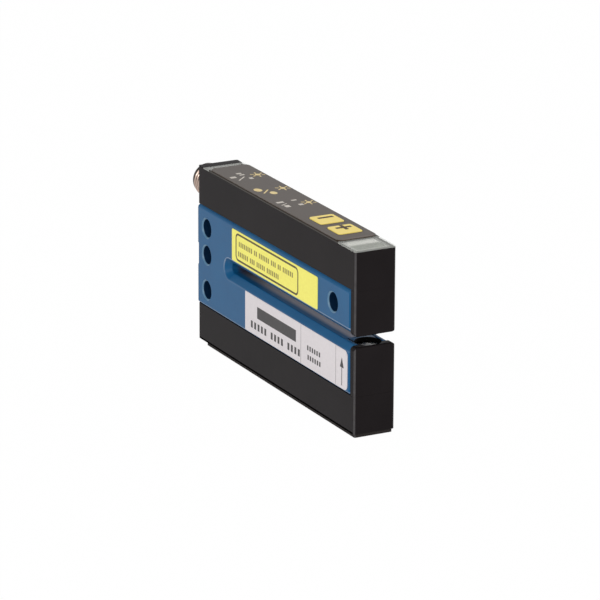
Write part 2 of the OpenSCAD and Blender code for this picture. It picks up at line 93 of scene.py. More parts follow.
def mottled(name, dark, light, patch, rough, bump=0.0, shine=0.5, **values):
    """A finish that wanders between two tones and two roughnesses over patches of a size, with the bump of
    a fine skin, a specular level and any further values of its shader."""
    material, tree = new_material(name)
    spot = add(tree, "ShaderNodeTexCoord")
    cloud = add(tree, "ShaderNodeTexNoise", {
        "Vector": spot.outputs["Object"], "Scale": 1 / patch, "Detail": 3})
    tone = add(tree, "ShaderNodeValToRGB", {"Fac": cloud.outputs["Fac"]}, stops=[(0.3, dark), (0.7, light)])
    gloss = add(tree, "ShaderNodeMapRange", {
        "Value": cloud.outputs["Fac"], "To Min": rough[0], "To Max": rough[1]})
    skin = add(tree, "ShaderNodeBump", {
        "Height": cloud.outputs["Fac"], "Strength": bump, "Distance": skin_depth})
    shader = add(tree, "ShaderNodeBsdfPrincipled", {
        "Base Color": tone.outputs["Color"], "Roughness": gloss.outputs["Result"],
        "Normal": skin.outputs["Normal"], "Specular IOR Level": shine, **values})
    add(tree, "ShaderNodeOutputMaterial", {"Surface": shader.outputs[0]})
    return material


def place(mesh, name, material, body):
    """Puts a finished mesh in the scene as a piece that rides on a body."""
    mesh.materials.clear()
    mesh.materials.append(material)
    piece = bpy.data.objects.new(name, mesh)
    bpy.context.scene.collection.objects.link(piece)
    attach(piece, body)
    return piece


def rounded_copy(node, name, width, material, body="sensor", least_face=0):
    """Stands for a solid with the same form, its edges rounded to a width. With least_face, only the outer
    edges between faces of more square millimetres than that are rounded."""
    weld = 0.0005 * MM
    flat_turn = math.radians(0.5)
    edge_turn = math.radians(25)
    arc_steps = 3
    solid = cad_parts[node].data
    form = bmesh.new()
    points = [form.verts.new(v.co) for v in solid.vertices]
    for face in solid.polygons:
        form.faces.new([points[i] for i in face.vertices])
    bmesh.ops.remove_doubles(form, verts=form.verts, dist=weld)
    bmesh.ops.dissolve_limit(form, angle_limit=flat_turn, verts=form.verts, edges=form.edges)
    bmesh.ops.recalc_face_normals(form, faces=form.faces)
    edges = [e for e in form.edges if e.is_manifold and e.calc_face_angle() > edge_turn]
    if least_face:
        least = least_face * MM * MM
        edges = [e for e in edges if e.is_convex and min(f.calc_area() for f in e.link_faces) > least]
    bmesh.ops.bevel(form, geom=edges, offset=width, offset_type="OFFSET", segments=arc_steps, profile=0.5,
                    affect="EDGES", clamp_overlap=not least_face)
    for face in form.faces:
        face.smooth = True
    mesh = bpy.data.meshes.new(name)
    form.to_mesh(mesh)
    form.free()
    if least_face:
        mesh.set_sharp_from_angle(angle=crease)
    piece = place(mesh, name, material, body)
    flat = piece.modifiers.new("flat faces stay flat", "WEIGHTED_NORMAL")
    flat.weight = 90
    flat.keep_sharp = True
    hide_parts(node)
    return piece


def coat(mesh, material, faces):
    """Gives some faces of a mesh another finish than the rest."""
    mesh.materials.append(material)
    for face in faces:
        face.material_index = len(mesh.materials) - 1


hole_places = [(-32.5, 27.75), (-32.5, 21.5), (-32.5, 13.3), (27.5, 27.75)]    # X and Z
hole_radius = 2.1
hole_chamfer = 0.3
slot_end = -21.35     # X of the middle of the slot's round inner end
slot_back = -24       # X just behind that end
slot_front = 35       # X near the open end
slot_middle = 21.3    # Z
slot_half = 1.15
slot_bevel = 1.4
low_edge = 9.7        # Z of the painted highlight line along the foot of the plate
edge_round = 0.15 * MM
large_face = 12       # square millimetres

# Satin paint on cast metal: a fine orange-peel skin, a little mottling, and a soft broad gloss. Along the
# slot's mouth and the lower edge, a narrow pale line is painted as a highlight where the rounded edges catch
# the light. It is strongest on the upper lip of the mouth. From its middle, a line is full as far as the
# first distance and gone at the second.
mouth_line = (0.1 * MM, 0.2 * MM)
foot_line = (0.08 * MM, 0.16 * MM)
paint_tone = "#0d507c"
blue_paint, tree = new_material("satin blue paint on cast aluminium")
spot = add(tree, "ShaderNodeTexCoord")
mottle = add(tree, "ShaderNodeTexNoise", {
    "Vector": spot.outputs["Object"], "Scale": 1 / (6 * MM), "Detail": 3})
tone = add(tree, "ShaderNodeValToRGB", {"Fac": mottle.outputs["Fac"]},
           stops=[(0.3, paint_tone), (0.7, "#125682")])
peel = add(tree, "ShaderNodeTexNoise", {
    "Vector": spot.outputs["Object"], "Scale": 1 / (0.5 * MM), "Detail": 2})
skin = add(tree, "ShaderNodeBump", {
    "Height": peel.outputs["Fac"], "Strength": 0.25, "Distance": skin_depth})
gloss = add(tree, "ShaderNodeMapRange", {"Value": mottle.outputs["Fac"], "To Min": 0.3, "To Max": 0.38})
along = add(tree, "ShaderNodeSeparateXYZ", {"Vector": spot.outputs["Object"]})
past = add(tree, "ShaderNodeMath", {0: slot_end * MM, 1: along.outputs["X"]}, operation="SUBTRACT")
past = add(tree, "ShaderNodeMath", {0: past.outputs[0], 1: 0.0}, operation="MAXIMUM")
rise = add(tree, "ShaderNodeMath", {0: along.outputs["Z"], 1: slot_middle * MM}, operation="SUBTRACT")
ray = add(tree, "ShaderNodeCombineXYZ", {"X": past.outputs[0], "Z": rise.outputs[0]})
reach = add(tree, "ShaderNodeVectorMath", {0: ray.outputs[0]}, operation="LENGTH")
off_mouth = add(tree, "ShaderNodeMath", {0: reach.outputs["Value"], 1: (slot_half + slot_bevel) * MM},
                operation="SUBTRACT")
off_mouth = add(tree, "ShaderNodeMath", {0: off_mouth.outputs[0]}, operation="ABSOLUTE")
highlight_peak = add(tree, "ShaderNodeMapRange", {
    "Value": rise.outputs[0], "From Min": -1.5 * MM, "From Max": 2.5 * MM, "To Min": 0.1, "To Max": 0.6})
mouth_highlight = add(tree, "ShaderNodeMapRange", {
    "Value": off_mouth.outputs[0], "From Min": mouth_line[0], "From Max": mouth_line[1],
    "To Min": highlight_peak.outputs["Result"], "To Max": 0.0})
off_foot = add(tree, "ShaderNodeMath", {0: along.outputs["Z"], 1: low_edge * MM}, operation="SUBTRACT")
off_foot = add(tree, "ShaderNodeMath", {0: off_foot.outputs[0]}, operation="ABSOLUTE")
foot_highlight = add(tree, "ShaderNodeMapRange", {
    "Value": off_foot.outputs[0], "From Min": foot_line[0], "From Max": foot_line[1], "To Min": 0.4,
    "To Max": 0.0})
highlight_share = add(tree, "ShaderNodeMath", {0: mouth_highlight.outputs["Result"], 1: foot_highlight.outputs["Result"]},
          operation="MAXIMUM")
# Mixes in the pale colour of the painted highlight along the slot's mouth and the foot of the plate.
worn = add(tree, "ShaderNodeMix", {0: highlight_share.outputs[0], 6: tone.outputs["Color"], 7: linear("#a3b0c2")},
           data_type="RGBA")
shader = add(tree, "ShaderNodeBsdfPrincipled", {
    "Base Color": worn.outputs[2], "Roughness": gloss.outputs["Result"], "Normal": skin.outputs["Normal"],
    "IOR": 1.5, "Specular IOR Level": 0.17})
add(tree, "ShaderNodeOutputMaterial", {"Surface": shader.outputs[0]})

fork = rounded_copy("fork_body", "painted_fork_body", edge_round, blue_paint, least_face=large_face)

# Painted shade in the screw holes: the hole walls get a dark blue that stands in for the shade deep in the
# bores.
hole_painted_shade = mottled("painted shade in the holes", "#06203a", "#0a2846", 1.5 * MM, (0.5, 0.6), 0.2,
                      shine=0.1)
# Thin coat on the hole chamfers, which the spray only grazes: a greyer blue, made paler as a painted
# highlight where the chamfers catch the light.
chamfer_paint_and_highlight = mottled("thin blue paint over milled metal, painted highlight", "#4d7694", "#58809d", 1.2 * MM, (0.28, 0.4), 0.2)
# Milled slot wall with hardly any paint: dull grey metal. Its grey is partly a painted reflection of the
# white room, and it is darkened towards the closed end as painted shade. From the middle of the plate it is
# bare as far as the first distance, and blue with spray from the second.
bare_depth = (1.5 * MM, 2.7 * MM)
slot_metal, tree = new_material("milled aluminium, painted shade and reflection")
spot = add(tree, "ShaderNodeTexCoord")
along = add(tree, "ShaderNodeSeparateXYZ", {"Vector": spot.outputs["Object"]})
share = add(tree, "ShaderNodeMapRange", {
    "Value": along.outputs["X"], "From Min": slot_back * MM, "From Max": slot_front * MM})
wall_shade_and_sheen = add(tree, "ShaderNodeValToRGB", {"Fac": share.outputs["Result"]},
           stops=[(0.03, "#34374c"), (0.13, "#6f6c70"), (0.33, "#918f96"), (0.75, "#a09fa8")])
depth = add(tree, "ShaderNodeMath", {0: along.outputs["Y"]}, operation="ABSOLUTE")
bare = add(tree, "ShaderNodeMapRange", {
    "Value": depth.outputs[0], "From Min": bare_depth[0], "From Max": bare_depth[1], "To Min": 1.0,
    "To Max": 0.0})
tone = add(tree, "ShaderNodeMix", {
    0: bare.outputs["Result"], 6: linear(paint_tone), 7: wall_shade_and_sheen.outputs["Color"]}, data_type="RGBA")
lines = add(tree, "ShaderNodeTexNoise", {
    "Vector": spot.outputs["Object"], "Scale": 1 / (0.8 * MM), "Detail": 2})
gloss = add(tree, "ShaderNodeMapRange", {"Value": lines.outputs["Fac"], "To Min": 0.35, "To Max": 0.5})
shader = add(tree, "ShaderNodeBsdfPrincipled", {
    "Base Color": tone.outputs[2], "Roughness": gloss.outputs["Result"], "Specular IOR Level": 0.2})
add(tree, "ShaderNodeOutputMaterial", {"Surface": shader.outputs[0]})

# The faces are told apart by how far they lean towards the plate's faces and by where they lie.
wall_lean = 0.3
chamfer_lean = (0.4, 0.9)
bevel_fall = -0.5
hole_slack = 0.05
slot_slack = 0.03
mouth_margin = 0.1
hole_walls = []
hole_edges = []
slot_walls = []
for face in fork.data.polygons:
    x, _, z = face.center / MM
    lean = abs(face.normal.y)
    off_hole = min(math.hypot(x - a, z - b) for a, b in hole_places)
    if lean < wall_lean and off_hole < hole_radius + hole_slack:
        hole_walls.append(face)
    if chamfer_lean[0] < lean < chamfer_lean[1] and off_hole < hole_radius + hole_chamfer:
        hole_edges.append(face)
    flat_wall = lean < wall_lean and abs(z - slot_middle) < slot_half + slot_slack
    upper_bevel = slot_middle < z < slot_middle + slot_half + slot_bevel - mouth_margin
    if x > slot_back and (flat_wall or (upper_bevel and face.normal.z < bevel_fall)):
        slot_walls.append(face)
coat(fork.data, hole_painted_shade, hole_walls)
coat(fork.data, chamfer_paint_and_highlight, hole_edges)
coat(fork.data, slot_metal, slot_walls)


# Black housings and tip blocks
# Two moulded troughs close the metal body above and below, a plate closes the lower one, and two blocks
# that hold the optics end the arms. All are glass-filled polyester with a fine spark-eroded texture.
black_plastic, tree = new_material("black moulded polyester, fine texture")
spot = add(tree, "ShaderNodeTexCoord")
grain = add(tree, "ShaderNodeTexNoise", {
    "Vector": spot.outputs["Object"], "Scale": 1 / (0.22 * MM), "Detail": 2})
cloud = add(tree, "ShaderNodeTexNoise", {
    "Vector": spot.outputs["Object"], "Scale": 1 / (9 * MM), "Detail": 3})
tone = add(tree, "ShaderNodeValToRGB", {"Fac": cloud.outputs["Fac"]},
           stops=[(0.3, "#1a1617"), (0.7, "#1e1a1b")])
skin = add(tree, "ShaderNodeBump", {
    "Height": grain.outputs["Fac"], "Strength": 0.3, "Distance": skin_depth})
gloss = add(tree, "ShaderNodeMapRange", {"Value": grain.outputs["Fac"], "To Min": 0.37, "To Max": 0.47})
shader = add(tree, "ShaderNodeBsdfPrincipled", {
    "Base Color": tone.outputs["Color"], "Roughness": gloss.outputs["Result"],
    "Normal": skin.outputs["Normal"], "IOR": 1.55, "Specular IOR Level": 0.05})
add(tree, "ShaderNodeOutputMaterial", {"Surface": shader.outputs[0]})

# The same plastic on the upright corners, paler and smoother as a painted highlight where the rounded
# corners catch the light.
corner_highlight_plastic = mottled("black polyester, corners paled as painted highlight", "#434041", "#4c4a4b", 1.5 * MM,
                         (0.3, 0.4), 0.1, shine=0.1)
# The bottom cover comes from a coarser mould: a duller skin, a shade paler than the housings.
cover_plastic = mottled("black polyester, dull", "#2e2a29", "#363231", 3 * MM, (0.6, 0.7), 0.2, shine=0.05)
block_finish = {"upper_housing": black_plastic, "lower_housing": black_plastic,
                "bottom_cover": cover_plastic, "emitter_holder": black_plastic,
                "receiver_holder": black_plastic}
# The rounds of the upright corners face partly along X and partly along Y, and hardly up or down.
corner_lean = 0.25
upright_lean = 0.2
blocks = {}
for node, finish in block_finish.items():
    blocks[node] = rounded_copy(node, "moulded_" + node, edge_round, finish, least_face=large_face)
    corners = []
    for face in blocks[node].data.polygons:
        across, out, up = [abs(value) for value in face.normal]
        if min(across, out) > corner_lean and up < upright_lean:
            corners.append(face)
    coat(blocks[node].data, corner_highlight_plastic, corners)


def split_faces(form, faces, point, way):
    """Cuts some faces of a form along a plane, given by a point in it and the way it faces."""
    same_spot = 0.0001 * MM
    edges = list(dict.fromkeys(e for f in faces for e in f.edges))
    points = list(dict.fromkeys(v for f in faces for v in f.verts))
    bmesh.ops.bisect_plane(form, geom=faces + edges + points, dist=same_spot, plane_co=point, plane_no=way)


# Painted shadow along the joint above the bottom cover, on both long sides: a matt, deep black band on the
# lowest strip of the housing stands in for the shade in the set-in joint, so the joint shows as a thin dark
# line.
joint_painted_shadow = mottled("painted shadow along the cover joint, matt black", "#050404", "#080707", 1 * MM, (0.75, 0.85), 0.2,
                         shine=0.0)
square_lean = 0.99
shadow_line_lean = 0.5
shadow_line_height = 0.42 * MM
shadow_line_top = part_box("lower_housing")[0].z + shadow_line_height
outer_skin = 4.5 * MM
mesh = blocks["lower_housing"].data
form = bmesh.new()
form.from_mesh(mesh)
sides = [f for f in form.faces if abs(f.normal.y) > square_lean]
split_faces(form, sides, (0, 0, shadow_line_top), (0, 0, 1))
form.to_mesh(mesh)
form.free()
mesh.set_sharp_from_angle(angle=crease)
shadow_line_faces = []
for face in mesh.polygons:
    if abs(face.normal.y) > shadow_line_lean and abs(face.center.y) > outer_skin and face.center.z < shadow_line_top:
        shadow_line_faces.append(face)
coat(mesh, joint_painted_shadow, shadow_line_faces)

# The bores for the beam are matt black inside, darker than the block as painted shade, with a chamfer at the
# mouth. The tongues of the tip blocks that reach into the metal arms get the same blue coat as the arms.
bore_black_and_shade = mottled("matt black inside the bores, with painted shade", "#070707", "#0b0b0b", 0.5 * MM, (0.7, 0.8), 0.2,
                     shine=0.05)
beam_x = 33.9
bore_radius = 2.5
bore_chamfer = 0.4
bore_lean = 0.9
round_slack = 0.03
face_slack = 0.01
metal_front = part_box("fork_body")[1].x / MM
gap_faces = {"emitter_holder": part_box("emitter_holder")[0].z / MM,
             "receiver_holder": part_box("receiver_holder")[1].z / MM}
for node, face_z in gap_faces.items():
    mesh = blocks[node].data
    form = bmesh.new()
    form.from_mesh(mesh)
    mouth = []
    for edge in form.edges:
        ends = [v.co / MM for v in edge.verts]
        off_round = max(abs(math.hypot(p.x - beam_x, p.y) - bore_radius) for p in ends)
        if off_round < round_slack and max(abs(p.z - face_z) for p in ends) < face_slack:
            mouth.append(edge)
    bmesh.ops.bevel(form, geom=mouth, offset=bore_chamfer * MM, offset_type="OFFSET", segments=1,
                    profile=0.5, affect="EDGES", clamp_overlap=False)
    flats = []
    for face in form.faces:
        off_face = abs(face.calc_center_median().z / MM - face_z)
        if abs(face.normal.z) > square_lean and off_face < face_slack:
            flats.append(face)
    split_faces(form, flats, (metal_front * MM, 0, 0), (1, 0, 0))
    form.to_mesh(mesh)
    form.free()
    mesh.set_sharp_from_angle(angle=crease)
    bore = []
    tongue = []
    for face in mesh.polygons:
        x, y, z = face.center / MM
        lean = abs(face.normal.z)
        if math.hypot(x - beam_x, y) < bore_radius + bore_chamfer and lean < bore_lean:
            bore.append(face)
        elif lean > square_lean and abs(z - face_z) < face_slack and x < metal_front:
            tongue.append(face)
    coat(mesh, bore_black_and_shade, bore)
    coat(mesh, blue_paint, tongue)


# Screws inside the housings
# Four small steel screws hold the two housings on the metal body, with their heads on the decks. They are
# turned and zinc plated: a grey metal with a slightly uneven dull gloss.
screw_steel = mottled("zinc plated steel, turned", "#85868a", "#94959a", 0.6 * MM, (0.3, 0.42), Metallic=1.0)


def dress(node, material):
    """Gives a solid that stays in view its finish."""
    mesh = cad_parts[node].data
    mesh.materials.clear()
    mesh.materials.append(material)


for node in ("upper_screw_back", "upper_screw_front", "lower_screw_back", "lower_screw_front"):
    dress(node, screw_steel)


# Windows, lenses and their diodes
# A clear disc closes each round opening beside the slot, with a domed lens behind it. Both are moulded
# from clear acrylic and pressed into their block. A metal can behind each lens holds the diode.

# Moulded acrylic, wiped many times: clear, with fine scratches that soften what it mirrors.
clear_acrylic, tree = new_material("clear acrylic, finely scratched")
spot = add(tree, "ShaderNodeTexCoord")
haze = add(tree, "ShaderNodeTexNoise", {
    "Vector": spot.outputs["Object"], "Scale": 1 / (1.5 * MM), "Detail": 2})
gloss = add(tree, "ShaderNodeMapRange", {"Value": haze.outputs["Fac"], "To Min": 0.14, "To Max": 0.22})
shader = add(tree, "ShaderNodeBsdfPrincipled", {
    "Base Color": linear("#eef3f2"), "Roughness": gloss.outputs["Result"], "IOR": 1.49,
    "Specular IOR Level": 0.25, "Transmission Weight": 1.0})
add(tree, "ShaderNodeOutputMaterial", {"Surface": shader.outputs[0]})

for node in ("emitter_window", "receiver_window", "collimator_lens", "receiver_lens"):
    rounded_copy(node, "clear_" + node, 0.06 * MM, clear_acrylic)

# Gold plate on the laser can and the contact pins: warm metal with a soft gloss.
gold_plate = mottled("gold plated brass, drawn", "#c79c4c", "#d6ad5c", 0.8 * MM, (0.2, 0.3), Metallic=1.0)
dress("laser_diode", gold_plate)
# Nickel plate on the receiver's can: a grey metal, a little warmer than steel.
can_nickel = mottled("nickel plated can, drawn", "#a5a29c", "#b4b1ab", 0.8 * MM, (0.22, 0.32), Metallic=1.0)
dress("photodiode", can_nickel)


# Boards and the parts soldered on them
# The main board lies over the metal body and the receiver board under it. They carry plain blocks for the
# chips, plugs and switches, and a flat lead joins them through the yoke of the fork.

# Solder resist over copper: green lacquer, lighter where the copper tracks lie under it. A row of the brick
# pattern is a quarter of a unit high at a scale of one.
track_spacing = 1 * MM
solder_resist, tree = new_material("green solder resist over copper")
spot = add(tree, "ShaderNodeTexCoord")
track = add(tree, "ShaderNodeTexBrick", {
    "Vector": spot.outputs["Object"], "Scale": 0.25 / track_spacing, "Mortar Size": 0.06,
    "Color1": linear("#0f4d2c"), "Color2": linear("#115632"), "Mortar": linear("#2b7a4c")})
shader = add(tree, "ShaderNodeBsdfPrincipled", {
    "Base Color": track.outputs["Color"], "Roughness": 0.35, "IOR": 1.5})
add(tree, "ShaderNodeOutputMaterial", {"Surface": shader.outputs[0]})
dress("main_board", solder_resist)
dress("receiver_board", solder_resist)

# Moulded chip bodies and key plungers: dark matt resin.
chip_resin = mottled("black epoxy moulding compound", "#1d1d1f", "#262628", 0.3 * MM, (0.5, 0.62), 0.2)
for node in ("controller_chip", "driver_chip", "minus_plunger", "plus_plunger"):
    dress(node, chip_resin)

# Stamped key switches: tinned steel with a satin gloss.
tinned_steel = mottled("tinned steel, stamped", "#a2a3a6", "#b1b2b5", 0.7 * MM, (0.28, 0.4), Metallic=1.0)
dress("minus_switch", tinned_steel)
dress("plus_switch", tinned_steel)

# Plugs of the flat lead: cream nylon. The lead itself is amber polyimide film.
cream_nylon = mottled("cream nylon, moulded", "#d8cfb6", "#e2dac3", 0.5 * MM, (0.42, 0.52), 0.15)
dress("link_plug", cream_nylon)
dress("receiver_plug", cream_nylon)
amber_film = mottled("amber polyimide film", "#a86a22", "#b87a2e", 1.2 * MM, (0.2, 0.3))
dress("link_flex", amber_film)

# Indicator lamps: clear epoxy, one tinted green and one yellow.
green_lamp = mottled("green tinted clear epoxy", "#4f9d63", "#62ae75", 0.4 * MM, (0.1, 0.18))
yellow_lamp = mottled("yellow tinted clear epoxy", "#d3ab43", "#dfba55", 0.4 * MM, (0.1, 0.18))
dress("power_led", green_lamp)
dress("output_led", yellow_lamp)

# Milky light guide over the lamps: grey-green scattering acrylic, painted whitest above them at its back end
# as painted light from the lamps.
white_until = 31.6 * MM
grey_from = 32.6 * MM
milky_acrylic, tree = new_material("milky acrylic, moulded")
spot = add(tree, "ShaderNodeTexCoord")
along = add(tree, "ShaderNodeSeparateXYZ", {"Vector": spot.outputs["Object"]})
painted_lamp_light = add(tree, "ShaderNodeMapRange", {
    "Value": along.outputs["X"], "From Min": white_until, "From Max": grey_from})
haze = add(tree, "ShaderNodeTexNoise", {
    "Vector": spot.outputs["Object"], "Scale": 1 / (1.2 * MM), "Detail": 2})
tone = add(tree, "ShaderNodeMix", {0: painted_lamp_light.outputs["Result"], 6: linear("#fbfaf6"), 7: linear("#9ca094")},
           data_type="RGBA")
gloss = add(tree, "ShaderNodeMapRange", {"Value": haze.outputs["Fac"], "To Min": 0.4, "To Max": 0.55})
shader = add(tree, "ShaderNodeBsdfPrincipled", {
    "Base Color": tone.outputs[2], "Roughness": gloss.outputs["Result"], "IOR": 1.49,
    "Specular IOR Level": 0.3})
add(tree, "ShaderNodeOutputMaterial", {"Surface": shader.outputs[0]})
rounded_copy("light_guide", "moulded_light_guide", 0.15 * MM, milky_acrylic)


# Clear lid
# A polycarbonate strip closes the top of the upper housing. It lies bare behind the keypad foil and at the
# tip end, where it is the window over the indicator lamps.

# Moulded polycarbonate: clear and faintly green with a soft haze, printed dark brown under the foil.
foil_low, foil_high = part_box("keypad_foil")
print_inset = 0.1 * MM
clear_lid, tree = new_material("clear polycarbonate, moulded")
spot = add(tree, "ShaderNodeTexCoord")
haze = add(tree, "ShaderNodeTexNoise", {
    "Vector": spot.outputs["Object"], "Scale": 1 / (2 * MM), "Detail": 3})
gloss = add(tree, "ShaderNodeMapRange", {"Value": haze.outputs["Fac"], "To Min": 0.1, "To Max": 0.22})
along = add(tree, "ShaderNodeSeparateXYZ", {"Vector": spot.outputs["Object"]})
ahead = add(tree, "ShaderNodeMath", {0: along.outputs["X"], 1: foil_low.x + print_inset},
            operation="GREATER_THAN")
behind = add(tree, "ShaderNodeMath", {0: along.outputs["X"], 1: foil_high.x - print_inset},
             operation="LESS_THAN")
under = add(tree, "ShaderNodeMath", {0: ahead.outputs[0], 1: behind.outputs[0]}, operation="MULTIPLY")
tone = add(tree, "ShaderNodeMix", {0: under.outputs[0], 6: linear("#ebede6"), 7: linear("#2b241d")},
           data_type="RGBA")
cover = add(tree, "ShaderNodeMapRange", {"Value": under.outputs[0], "To Min": 0.3, "To Max": 1.0})
shader = add(tree, "ShaderNodeBsdfPrincipled", {
    "Base Color": tone.outputs[2], "Roughness": gloss.outputs["Result"], "IOR": 1.58,
    "Specular IOR Level": 0.15, "Alpha": cover.outputs["Result"]})
add(tree, "ShaderNodeOutputMaterial", {"Surface": shader.outputs[0]})
dress("clear_lid", clear_lid)


# Keypad foil
# A dark polyester foil, printed from below and glued on the lid, with two openings for the keys. A thin
# line runs along its front edge, and pale marks for the lamps and keys are printed on it.

# Satin polyester: dark brown ink seen through a fine frosted skin.
dark_foil = mottled("dark polyester foil, satin", "#413429", "#4a3c30", 0.3 * MM, (0.33, 0.42), 0.2, IOR=1.5)
rounded_copy("keypad_foil", "printed_keypad_foil", 0.1 * MM, dark_foil)

foil_top = foil_high.z / MM
ink_gap = 0.006    # how far a print stands off what carries it


def stamp(name, material, outlines, spot_of, body):
    """A thin print: flat outlines in millimetres, each point put on its surface by spot_of."""
    points = []
    faces = []
    for outline in outlines:
        faces.append(list(range(len(points), len(points) + len(outline))))
        points += [[value * MM for value in spot_of(a, b)] for a, b in outline]
    mesh = bpy.data.meshes.new(name)
    mesh.from_pydata(points, [], faces)
    place(mesh, name, material, body)


def on_foil(a, b):
    """The spot on the foil at a place along it and across it."""
    return a, b, foil_top + ink_gap


def bar(a0, b0, a1, b1):
    """The outline of an upright rectangle."""
    return [(a0, b0), (a1, b0), (a1, b1), (a0, b1)]


def stroke(a0, b0, a1, b1, width):
    """The outline of a straight stroke of a width."""
    long = math.hypot(a1 - a0, b1 - b0)
    da = (b1 - b0) / long * width / 2
    db = (a1 - a0) / long * width / 2
    return [(a0 + da, b0 - db), (a1 + da, b1 - db), (a1 - da, b1 + db), (a0 - da, b0 + db)]


def oval(a, b, ra, rb):
    """The outline of a filled oval."""
    count = 20
    turns = [2 * math.pi * i / count for i in range(count)]
    return [(a + ra * math.cos(t), b + rb * math.sin(t)) for t in turns]


def lamp_mark(a, b):
    """A small lamp sign: a dot with six short rays."""
    dot = 0.65
    ray_start = 0.9
    ray_end = 1.7
    ray_width = 0.36
    mark = [oval(a, b, dot, dot)]
    for i in range(6):
        x = math.cos(math.pi * i / 3)
        y = math.sin(math.pi * i / 3)
        mark.append(stroke(a + ray_start * x, b + ray_start * y, a + ray_end * x, b + ray_end * y,
                           ray_width))
    return mark


# Screen ink on the foil: pale gold and pale grey, flat and a little worn.
gold_ink = mottled("pale gold screen ink", "#e3c884", "#f5dfa2", 0.7 * MM, (0.4, 0.5))
grey_ink = mottled("pale grey screen ink", "#c9c1b6", "#dcd5cb", 0.7 * MM, (0.4, 0.5))
line_ink = mottled("brown screen ink", "#7a695d", "#86756a", 0.7 * MM, (0.4, 0.5))

gold_marks = lamp_mark(-22.9, 2.8) + lamp_mark(-11.0, 2.9) + lamp_mark(1.2, 2.9)
gold_marks += [oval(-12.0, -2.7, 1.25, 0.9), stroke(-9.1, -2.7, -11.3, -0.6, 0.35)]
gold_marks += [oval(-8.6, -0.6, 1.1, 0.8)]
stamp("foil_gold_marks", gold_ink, gold_marks, on_foil, "sensor")
grey_marks = [stroke(-20.5, -3.0, -22.7, -0.6, 0.35), bar(-23.8, -3.8, -22.6, -2.4)]
grey_marks += [bar(-21.6, -0.2, -20.4, 0.7), bar(-25.9, -1.2, -25.1, 0.0), bar(-24.6, -1.0, -23.9, 0.2)]
grey_marks += [bar(-1.9, -3.6, -0.9, -1.9), bar(1.1, -3.2, 2.6, -2.0), bar(-2.0, 0.1, -1.3, 1.4)]
grey_marks += [bar(1.4, 0.1, 2.5, 1.2), stroke(0.8, -3.5, -0.1, -1.8, 0.3)]
stamp("foil_grey_marks", grey_ink, grey_marks, on_foil, "sensor")
stamp("foil_front_line", line_ink, [bar(28.8, -3.7, 29.0, 3.7)], on_foil, "sensor")


# Keys
# Two yellow pads come up through the foil, each with a stem that goes down to its switch. They are moulded
# from coloured acetal, smooth and a little waxy, and a dark sign is printed on each.
yellow_acetal = mottled("yellow acetal, moulded", "#ffe377", "#ffe982", 0.4 * MM, (0.4, 0.5), 0.15, IOR=1.48)
# Pad-printed ink on the keys: dark brown and matt, a little thin in places.
sign_ink = mottled("dark brown pad ink", "#4a3318", "#563d20", 0.5 * MM, (0.45, 0.55))
key_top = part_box("minus_key")[1].z / MM
bar_back, bar_front = -1.6, -0.65      # the sign's bar, from the middle of its key
bar_low, bar_high = -1.3, 2.4
arm_back, arm_front = -2.7, 0.6        # the arms of the plus
arm_low, arm_high = 0.2, 1.05


def on_key(a, b):
    """The spot on a key's top at a place along the foil and across it."""
    return a, b, key_top + ink_gap


for key in ("minus", "plus"):
    rounded_copy(key + "_key", key + "_pad", 0.12 * MM, yellow_acetal, key + "_button")
    low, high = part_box(key + "_key")
    x = (low.x + high.x) / 2 / MM
    sign = [bar(x + bar_back, bar_low, x + bar_front, bar_high)]
    if key == "plus":
        sign.append(bar(x + arm_back, arm_low, x + bar_back, arm_high))
        sign.append(bar(x + bar_front, arm_low, x + arm_front, arm_high))
    stamp(key + "_sign", sign_ink, sign, on_key, key + "_button")


# Labels
# Two stickers on the flat of the metal body: a yellow one above the slot and a white one below it. Both
# are vinyl, printed with frames, bars and rows of plain dashes.

# Matt vinyl: an even colour with a faint paper-like grain.
yellow_vinyl = mottled("yellow vinyl label, matt", "#efe66f", "#f3ec76", 0.5 * MM, (0.45, 0.55), shine=0.2)
white_vinyl = mottled("white vinyl label, matt", "#d6d0d2", "#dbd5d7", 0.5 * MM, (0.45, 0.55), shine=0.2)
dress("yellow_label", yellow_vinyl)
dress("white_label", white_vinyl)

label_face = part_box("yellow_label")[0].y / MM


def on_label(a, b):
    """The spot on the labels' face at a place along the body and a height."""
    return a, label_face - ink_gap, b


def dashes(a, b, height, groups, width, gap):
    """A row of upright dashes in groups, from a start point."""
    row = []
    for count in groups:
        for _ in range(count):
            row.append(bar(a, b, a + width, b + height))
            a += width + gap
        a += 2 * gap
    return row


def round_frame(a0, b0, a1, b1, radius, width):
    """A line of a width around a rectangle with round corners, as a chain of four-sided outlines."""
    arc_steps = 8
    outer = []
    inner = []
    corners = [(a1 - radius, b1 - radius), (a0 + radius, b1 - radius), (a0 + radius, b0 + radius),
               (a1 - radius, b0 + radius)]
    for quarter, (a, b) in enumerate(corners):
        for i in range(arc_steps + 1):
            t = math.pi / 2 * (quarter + i / arc_steps)
            outer.append((a + radius * math.cos(t), b + radius * math.sin(t)))
            inner.append((a + (radius - width) * math.cos(t), b + (radius - width) * math.sin(t)))
    count = len(outer)
    return [[inner[i], outer[i], outer[(i + 1) % count], inner[(i + 1) % count]] for i in range(count)]


# Thermal-transfer ink on the labels: near black, brown where it is thin on the yellow.
brown_ink = mottled("thin brown label ink", "#463c14", "#52471b", 0.8 * MM, (0.45, 0.55))
pale_brown_ink = mottled("pale brown label ink", "#7c7030", "#8a7e39", 0.8 * MM, (0.45, 0.55))
black_ink = mottled("black label ink", "#2e2a2b", "#393536", 0.8 * MM, (0.45, 0.55))
pale_ink = mottled("pale grey label ink", "#857f81", "#928c8e", 0.8 * MM, (0.45, 0.55))

